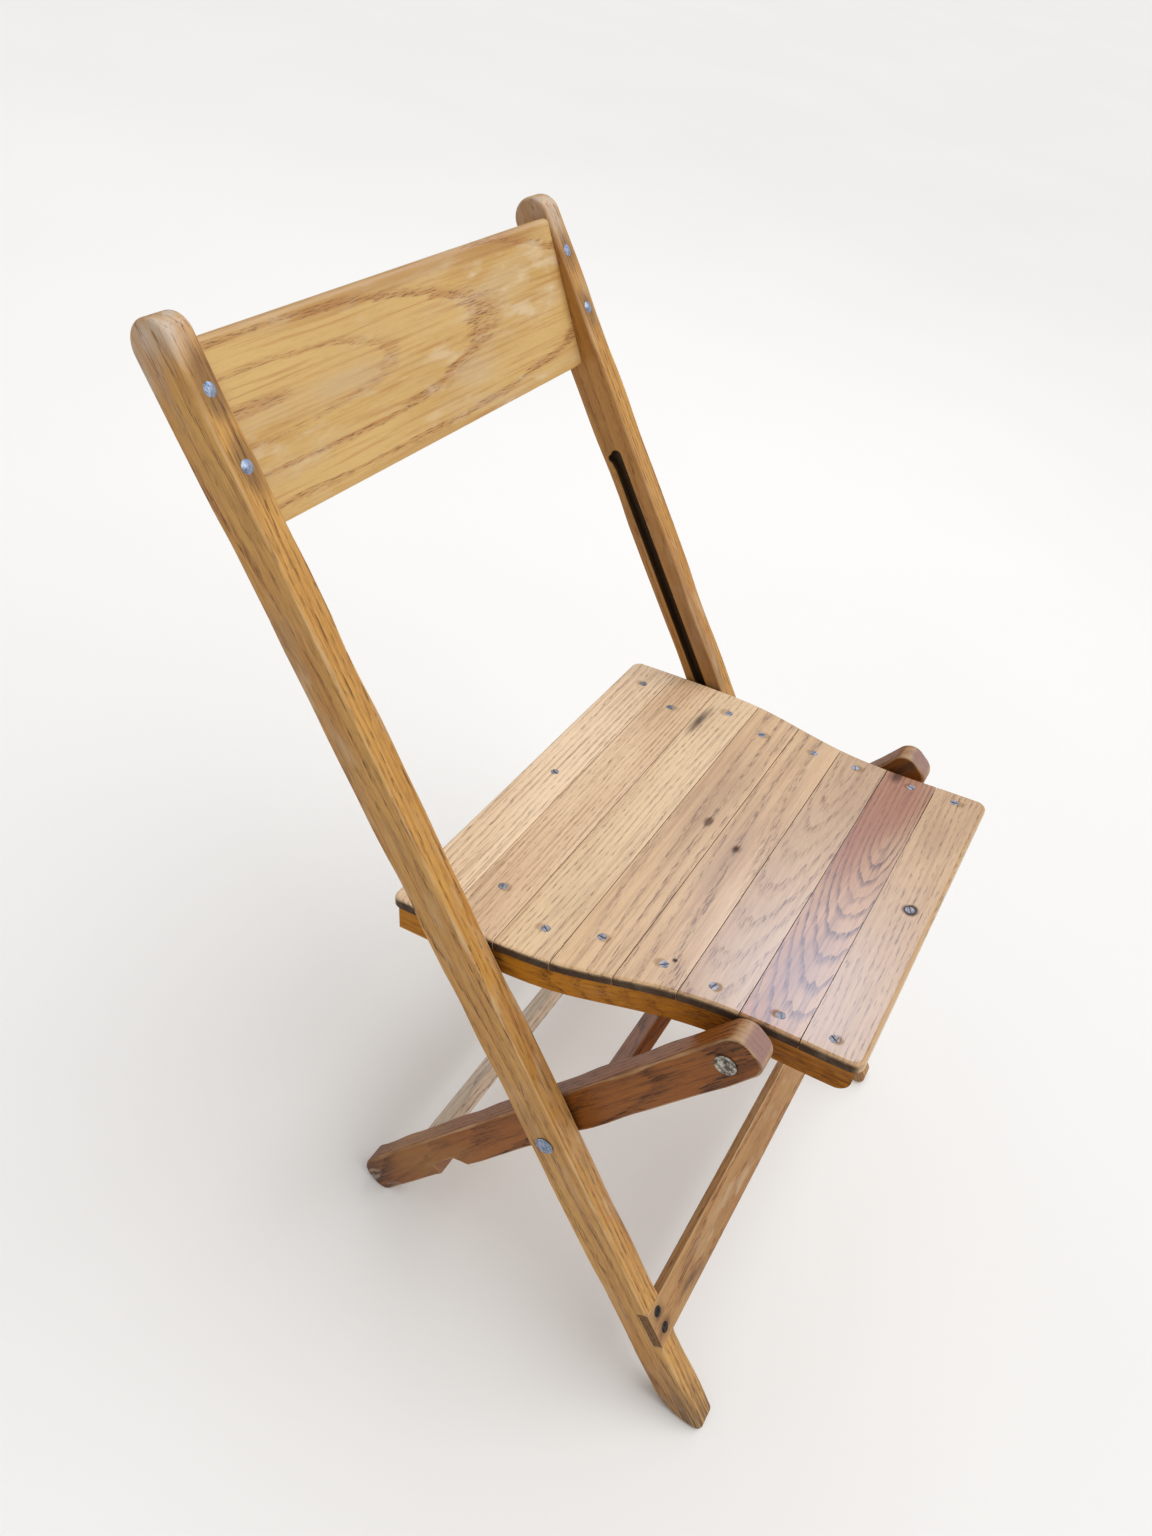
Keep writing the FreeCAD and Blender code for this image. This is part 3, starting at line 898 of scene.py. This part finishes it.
@dataclass
class BackFrame:
    """The two posts with the backrest board, the front stretcher and their hardware."""

    width: float = 0.034
    length: float = 0.971
    heel: float = 0.051
    tip: float = 0.0068
    notch: Pair = (0.107, 0.145)
    notch_depth: float = 0.009
    groove_centre: float = 0.0197
    groove_half: float = 0.0055
    groove_depth: float = 0.009
    groove_run: Pair = (0.40, 0.7433)
    ease: float = 0.0026
    board_ease: float = 0.0016
    groove_head: float = 0.752
    post: Oak = honey(
        ring=0.0042, heart=(0.03, 0.055), dive=0.02, figure=0.5, feet=0.1, crown=0.05,
        chalk=0.3, grime=0.5, worn=0.85, ends=0.15,
    )
    board: Oak = honey(
        pale=paint(206, 170, 108), deep=paint(190, 150, 86), early=paint(168, 112, 60),
        pore=paint(110, 70, 40), ring=0.021, heart=(0.008, 0.018), dive=0.17, porous=0.3,
        wander=0.02, teeth=0.0036, figure=0.62, open=0.1, chalk=0.6, grime=0.15, gloss=0.48,
        seed=3.0,
    )

    def post_outline(self) -> np.ndarray:
        """Gives a post's side view from the tip of its foot: rearward, then along.

        A small arc rounds the tip between the straight front and the heel's arc, the top is a
        half circle, and a notch in the front takes the stretcher.
        """
        heel, tip, top = self.heel, self.tip, self.width / 2.0
        heel_at = (self.width - heel, heel * math.sin(math.acos(1.0 - self.width / heel)))
        rise = math.sqrt((heel - tip) ** 2 - (tip - heel_at[0]) ** 2)
        tip_at = (tip, heel_at[1] - rise)
        touch = -math.degrees(math.atan2(rise, tip - heel_at[0]))
        low, high = self.notch
        crest = self.length - top
        return np.concatenate(
            [
                arc(tip_at, tip, 180.0, 360.0 + touch),
                arc(heel_at, heel, touch, 0.0, 24)[1:],
                run((self.width, heel_at[1]), (self.width, crest)),
                arc((top, crest), top, 0.0, 180.0, 40),
                run((0.0, crest), (0.0, high)),
                np.array([(0.0, high), (self.notch_depth, high)]),
                np.array([(self.notch_depth, low), (0.0, low)]),
                run((0.0, low), (0.0, tip_at[1])),
            ]
        )

    def groove_outline(self) -> np.ndarray:
        """Gives the groove's side view: a slot with round ends, hooked to the rear at its head."""
        centre, half = self.groove_centre, self.groove_half
        low, high = self.groove_run
        return np.concatenate(
            [
                arc((centre, low), half, 180.0, 360.0, 16),
                run((centre + half, low), (centre + half, high - 0.006)),
                arc((centre + 0.45 * 2.0 * half, high - 0.0011), 0.004, -60.0, 60.0, 9),
                arc((centre, high), half, 30.0, 180.0, 16),
                run((centre - half, high), (centre - half, low)),
            ]
        )

    def shape_post(self, side: Side, lie: Lie) -> bpy.types.Object:
        """Cuts one post to its outline and routes the groove into its inner face.

        Args:
            side: Which post.
            lie: How its CAD node lies.

        Returns:
            The post's object.
        """
        foot = (
            Vector(lie.centre)
            + Vector(POST.run) * (lie.half[0] - self.length)
            - Vector(POST.rear) * lie.half[1]
        )
        middle, half = foot.x, lie.half[2]
        origin = (0.0, foot.y, foot.z)
        inner = middle - side.value * half
        groove = sorted((inner - side.value * 0.002, inner + side.value * self.groove_depth))
        cutter = Slab(
            origin, POST.rear, POST.run, self.groove_outline(), *groove, ease=0.0001, rings=1
        )
        body = Slab(
            origin, POST.rear, POST.run, self.post_outline(), middle - half, middle + half,
            ease=self.ease, seed=7 + int(side.value), blunt=0.9,
        )
        return body.piece(f"worn_post_{side.word}", cutter)

    def dress(self) -> None:
        """Shapes, eases and dresses each piece of the back frame."""
        for side in Side:
            name = f"post_{side.word}"
            lie = Lie.of(name, POST.run, side.out)
            nails = Lie.of(f"backrest_nails_{side.word}", POST.run, POST.front)
            stains = [
                Stain(lie.spot(nails.at(reach)), 0.013, 0.004, 0.5, 2.2) for reach in (1.0, -1.0)
            ]
            oak = replace(self.post, seed=side.value * 11.0)
            slot = Slot(-0.08, self.groove_head - lie.half[0])
            post = self.shape_post(side, lie)
            stand_in(post, name, "back_frame", oak.material(name, lie, stains, slot))
            for hardware, finish, faces in (
                ("backrest_nails", PLATED, POST.front),
                ("front_stretcher_nails", BLACKENED, POST.front),
                ("pivot_rivet", PLATED, side.out),
                ("pivot_washer", PLATED, side.out),
                ("pivot_spacer", BLACKENED, side.out),
                ("pivot_inner_washer", BLACKENED, side.out),
            ):
                node = f"{hardware}_{side.word}"
                dress(node, finish.material(node, Lie.of(node, POST.run, faces)))
        eased("backrest_board", self.board_ease)
        lie = Lie.of("backrest_board", ACROSS, BOARD_OUT)
        handled = [
            Stain((0.0, lie.half[1] - 0.004, lie.half[2]), 0.013, 0.004, 0.42, 24.0, OLD_VARNISH),
            Stain((0.0, -lie.half[1], lie.half[2]), 0.009, 0.001, 0.35, 30.0, OLD_VARNISH),
            Stain((0.214, 0.0, lie.half[2]), 0.05, 0.006, 0.4, 0.45, OLD_VARNISH),
            Stain((-0.214, 0.0, lie.half[2]), 0.05, 0.006, 0.4, 0.4, OLD_VARNISH),
        ]
        dress("backrest_board", self.board.material("backrest_board", lie, handled))
        eased("front_stretcher", 0.0014)
        lie = Lie.of("front_stretcher", ACROSS, POST.front)
        worn = honey(
            pale=paint(178, 136, 86), deep=paint(152, 108, 62), ring=0.005, figure=0.6, chalk=0.4,
            grime=0.9, worn=0.9, gloss=0.55, seed=8.0,
        )
        stains = [
            Stain((side.value * 0.217, side_b, lie.half[2]), 0.009, 0.002, 0.6, 1.6)
            for side in Side
            for side_b in (0.008, -0.006)
        ]
        dress("front_stretcher", worn.material("front_stretcher", lie, stains))


@dataclass
class LegFrame:
    """The two rear legs with their stretchers and the bolts that carry the seat."""

    ease: float = 0.003
    head: float = 0.014
    heel: float = 0.0119
    instep: float = 0.016
    notch: Pair = (0.1003, 0.1445)
    notch_slope: float = 0.0121
    notch_depth: float = 0.01116
    oak: Oak = honey(
        pale=paint(152, 90, 34), deep=paint(122, 65, 20), early=paint(80, 40, 12), shine=0.16,
        pore=paint(42, 24, 14), ring=0.005, heart=(0.01, 0.05), dive=0.05, figure=0.65,
        grime=0.5, chalk=0.12, worn=0.75, ends=0.8, end=paint(158, 128, 122),
    )
    weathered: Oak = honey(
        pale=paint(226, 206, 186), deep=paint(200, 176, 152), early=paint(140, 114, 92),
        pore=paint(62, 46, 36), ring=0.004, figure=0.5, chalk=0.5, grime=0.5, gloss=0.62,
        coat=0.0, worn=0.8,
    )

    def leg_outline(self, length: float, width: float) -> np.ndarray:
        """Gives a leg's side view about its centre: towards the foot, then square to it.

        Four arcs round its corners, and a notch with one sloping side is cut in its lower edge.

        Args:
            length: Length over both rounded ends.
            width: Width of the leg.

        Returns:
            One row per point, counter-clockwise.
        """
        end, edge = length / 2.0, width / 2.0
        head, heel, instep = self.head, self.heel, self.instep
        low, high = end - self.notch[1], end - self.notch[0]
        deep = -edge + self.notch_depth
        return np.concatenate(
            [
                arc((-end + head, -edge + head), head, 180.0, 270.0),
                run((-end + head, -edge), (low, -edge)),
                np.array([(low, -edge), (low + self.notch_slope, deep)]),
                np.array([(high, deep), (high, -edge)]),
                run((high, -edge), (end - heel, -edge)),
                arc((end - heel, -edge + heel), heel, -90.0, 0.0),
                arc((end - instep, edge - instep), instep, 0.0, 90.0),
                run((end - instep, edge), (-end + head, edge)),
                arc((-end + head, edge - head), head, 90.0, 180.0),
            ]
        )

    def dress(self) -> None:
        """Shapes, eases and dresses each piece of the leg frame."""
        for side in Side:
            name = f"rear_leg_{side.word}"
            lie = Lie.of(name, reverse(LEG.run), side.out)
            oak = replace(self.oak, seed=20.0 + side.value * 3.0, feet=0.06)
            middle, half = lie.centre[0], lie.half[2]
            leg = Slab(
                (0.0, *lie.centre[1:]), LEG.run, LEG.rear,
                self.leg_outline(2.0 * lie.half[0], 2.0 * lie.half[1]),
                middle - half, middle + half, ease=self.ease, seed=17 + int(side.value),
            ).piece(f"worn_leg_{side.word}")
            sunned = Stain((0.1 - lie.half[0], 0.0, lie.half[2]), 0.085, 0.02, 0.5, 1.0, SUNNED)
            stand_in(leg, name, "leg_frame", oak.material(name, lie, [sunned]))
            for hardware, finish in (
                ("seat_bolt", PITTED),
                ("seat_bolt_washer", PITTED),
                ("seat_bolt_inner_washer", BLACKENED),
                ("seat_bushing", BLACKENED),
            ):
                node = f"{hardware}_{side.word}"
                dress(node, finish.material(node, Lie.of(node, LEG.run, side.out)))
        # The mid stretcher wears the legs' darker oak, as painted shade for the shade it lies in
        # under the seat.
        for seed, name, finish in (
            (31.0, "rear_stretcher", self.weathered),
            (32.0, "mid_stretcher", self.oak),
        ):
            eased(name, 0.0012)
            oak = replace(finish, seed=seed)
            dress(name, oak.material(name, Lie.of(name, ACROSS, LEG.rear)))


@dataclass
class SlatSeat:
    """Eight slats screwed to two hidden rails, with the pins that run in the posts."""

    ease: float = 0.0007
    slat: Oak = honey(
        pale=paint(218, 182, 138), deep=paint(200, 160, 116), early=paint(164, 122, 86),
        pore=paint(104, 74, 54), ring=0.0036, heart=(0.0, 0.09), dive=0.02, wander=0.006,
        figure=0.34, chalk=0.12, grime=0.24, worn=0.3, gloss=0.36, shine=0.16, coat=0.8,
        ends=0.95, open=0.14,
    )
    rail: Oak = honey(
        pale=paint(190, 126, 36), deep=paint(164, 100, 22), early=paint(118, 66, 14),
        ring=0.004, figure=0.4, grime=0.3, chalk=0.04, gloss=0.5, shine=0.1, coat=0.0,
    )
    screw_half: float = 0.15575
    marks: Mapping[int, tuple[tuple[Any, ...], ...]] = field(
        default_factory=lambda: {
            3: ((0.145, 0.016, 0.007, 0.001, 0.85, 5.0),),
            4: (
                (0.04, 0.0, 0.02, 0.002, 0.3, 6.0, paint(140, 104, 78)),
                (0.012, -0.008, 0.0045, 0.0012, 0.7, 1.8),
            ),
            5: (
                (-0.02, 0.006, 0.02, 0.002, 0.34, 5.0, paint(134, 98, 76)),
                (-0.008, 0.004, 0.0055, 0.0016, 0.75, 1.6),
                (-0.148, -0.008, 0.003, 0.0012, 0.9, 1.0),
            ),
            7: (
                (0.115, 0.006, 0.04, 0.012, 0.55, 3.6, paint(150, 78, 36)),
                (-0.11, 0.0, 0.024, 0.004, 0.34, 3.0, paint(104, 76, 78)),
                (0.165, 0.012, 0.009, 0.002, 0.75, 2.0),
            ),
            8: (
                (0.1, 0.006, 0.02, 0.003, 0.4, 3.0, paint(150, 104, 64)),
                (0.0, -0.0039, 0.0084, 0.0052, 0.95, 1.1),
            ),
        }
    )
    screw_spread: Mapping[int, float] = field(
        default_factory=lambda: {1: 0.015, 2: -0.007, 3: 0.015}
    )

    def cuts(self) -> dict[int, dict[str, Any]]:
        """Gives what sets each slat's board apart, by its number from the rear."""
        red = dict(
            pale=paint(196, 152, 110), deep=paint(168, 112, 66), early=paint(92, 54, 40),
            pore=paint(62, 38, 32), ring=0.0044, heart=(-0.008, 0.012), dive=-0.17, figure=0.8,
            teeth=0.0016, wander=0.009, porous=0.55, grime=0.1,
        )
        return {
            1: dict(heart=(0.05, 0.05), pale=paint(246, 216, 180), deep=paint(232, 198, 160)),
            2: dict(
                heart=(0.07, 0.03), grime=0.3, pale=paint(236, 204, 166), deep=paint(220, 184, 146),
            ),
            3: dict(heart=(-0.06, 0.05), pale=paint(230, 198, 156), deep=paint(214, 180, 138)),
            4: dict(ring=0.0085, heart=(0.03, 0.03), dive=0.03, figure=0.4, grime=0.3),
            5: dict(ring=0.0075, heart=(-0.02, 0.036), dive=-0.03, figure=0.42, grime=0.25),
            6: dict(
                ring=0.0056, heart=(0.006, 0.02), dive=-0.12, figure=0.5, teeth=0.002,
                pale=paint(200, 164, 124), deep=paint(180, 142, 104),
            ),
            7: red,
            8: dict(
                heart=(0.04, 0.03), dive=0.04, pale=paint(204, 166, 120), deep=paint(186, 146, 102),
            ),
        }

    def dress(self) -> None:
        """Eases and dresses each node of the seat."""
        for number, changes in self.cuts().items():
            name = f"slat_{number}"
            eased(name, self.ease, 2)
            lie = Lie.of(name, ACROSS, SEAT.rear)
            reach = self.screw_half + self.screw_spread.get(number, 0.0)
            stains = [
                Stain((side.value * reach, 0.0, lie.half[2]), 0.006, 0.003, 0.3) for side in Side
            ] + [Stain((x, y, lie.half[2]), *rest) for x, y, *rest in self.marks.get(number, ())]
            oak = replace(self.slat, seed=40.0 + 7.0 * number, **changes)
            dress(name, oak.material(name, lie, stains))
        for side in Side:
            name = f"seat_rail_{side.word}"
            eased(name, 0.0012, 2)
            oak = replace(self.rail, seed=110.0 + side.value)
            dress(name, oak.material(name, Lie.of(name, SEAT.run, side.out)))
            pin = f"guide_pin_{side.word}"
            dress(pin, BLACKENED.material(pin, Lie.of(pin, SEAT.run, side.out)))
        for seed, name in enumerate(("front_apron", "rear_cross_rail")):
            eased(name, 0.001, 2)
            oak = replace(self.rail, seed=120.0 + seed, grime=0.8, ends=0.9)
            dress(name, oak.material(name, Lie.of(name, ACROSS, reverse(SEAT.run))))
        for name in ("slat_screws", "middle_screws"):
            dress(name, SCREW.material(name, Lie.of(name, ACROSS, SEAT.rear)))


@dataclass(frozen=True)
class Lamp:
    """One soft lamp of the studio.

    Attributes:
        name: Its name.
        kind: Blender's name of its kind.
        spot: Where it stands.
        size: Its width in metres, or a sun's angle in radians.
        power: Its power, in watts, or a sun's strength.
        colour: Its colour.
        seen_matt: Whether matt surfaces are lit by it too, or only glossy ones.
    """

    name: str
    kind: str
    spot: Triple
    size: float
    power: float
    colour: Colour = (1.0, 1.0, 1.0)
    seen_matt: bool = True

    def hang(self, target: Triple) -> None:
        """Hangs the lamp and turns it to a target."""
        lamp = bpy.data.lights.new(self.name, self.kind)
        setattr(lamp, "angle" if self.kind == "SUN" else "size", self.size)
        lamp.energy = self.power
        lamp.color = self.colour
        holder = add(self.name, lamp)
        holder.location = self.spot
        holder.visible_diffuse = self.seen_matt
        aim = Vector(target) - Vector(self.spot)
        holder.rotation_euler = aim.to_track_quat("-Z", "Y").to_euler()
        log.info("lit the %s lamp", self.name)


@dataclass
class Studio:
    """A plain pale floor, soft light and the camera."""

    eye: Triple = (-0.74484, -0.23391, 1.0756)
    forward: Triple = (0.71691, 0.27032, -0.64262)
    up: Triple = (0.49795, 0.44659, 0.74338)
    lens: float = 28.439
    sensor: float = 36.0
    near: float = 0.01
    floor_half: float = 30.0
    sky: float = 0.52
    target: Triple = (0.0, 0.0, 0.4)
    lamps: tuple[Lamp, ...] = (
        Lamp("window", "AREA", (1.66, 0.42, 2.34), 1.6, 9.0),
        Lamp("glint", "AREA", (1.58, 0.36, 2.2), 0.5, 11.0, (0.58, 0.72, 1.0), False),
        Lamp("sky", "SUN", (0.4, -1.6, 3.0), math.radians(70.0), 1.75),
    )

    def floor(self) -> None:
        """Lays the floor, a square just under the feet."""
        half, low = self.floor_half, -FLOOR_DROP
        corners = [(-half, -half, low), (half, -half, low), (half, half, low), (-half, half, low)]
        mesh = bpy.data.meshes.new("floor")
        mesh.from_pydata(corners, [], [(0, 1, 2, 3)])
        piece = add("floor", mesh)
        g = Graph("floor_paper")
        p = g.node("ShaderNodeTexCoord", out="Object")
        tone = g.noise(p, (1.5, 1.5, 1.5), 0.0, 2.0)
        colour = g.blend(tone, paint(244, 243, 241), paint(239, 238, 236))
        mesh.materials.append(g.close(tone, 0.0001, Base_Color=colour, Roughness=0.9))
        log.info("laid the floor")

    def light(self) -> None:
        """Sets a white sky and soft lamps; the glint lamp is seen only in what is glossy."""
        world = bpy.data.worlds.new("studio")
        world.use_nodes = True
        sky = world.node_tree.nodes["Background"].inputs
        sky["Color"].default_value = (1.0, 1.0, 1.0, 1.0)
        sky["Strength"].default_value = self.sky
        bpy.context.scene.world = world
        bpy.context.scene.view_settings.view_transform = "Standard"
        for lamp in self.lamps:
            lamp.hang(self.target)

    def camera(self) -> None:
        """Stands the camera at its eye point, looking forward with its own up direction."""
        ahead = Vector(self.forward).normalized()
        side = ahead.cross(Vector(self.up)).normalized()
        upright = side.cross(ahead)
        turn = Matrix((side, upright, -ahead)).transposed().to_4x4()
        data = bpy.data.cameras.new("camera")
        data.lens = self.lens
        data.sensor_width = self.sensor
        data.clip_start = self.near
        holder = add("camera", data)
        holder.matrix_world = Matrix.Translation(self.eye) @ turn
        bpy.context.scene.camera = holder
        log.info("stood the camera")


def main() -> None:
    """Dresses the chair, part by part, and sets the studio around it."""
    logging.basicConfig(level=logging.INFO, format="%(name)s: %(message)s")
    BackFrame().dress()
    LegFrame().dress()
    SlatSeat().dress()
    studio = Studio()
    studio.floor()
    studio.light()
    studio.camera()


if __name__ == "__main__":
    main()
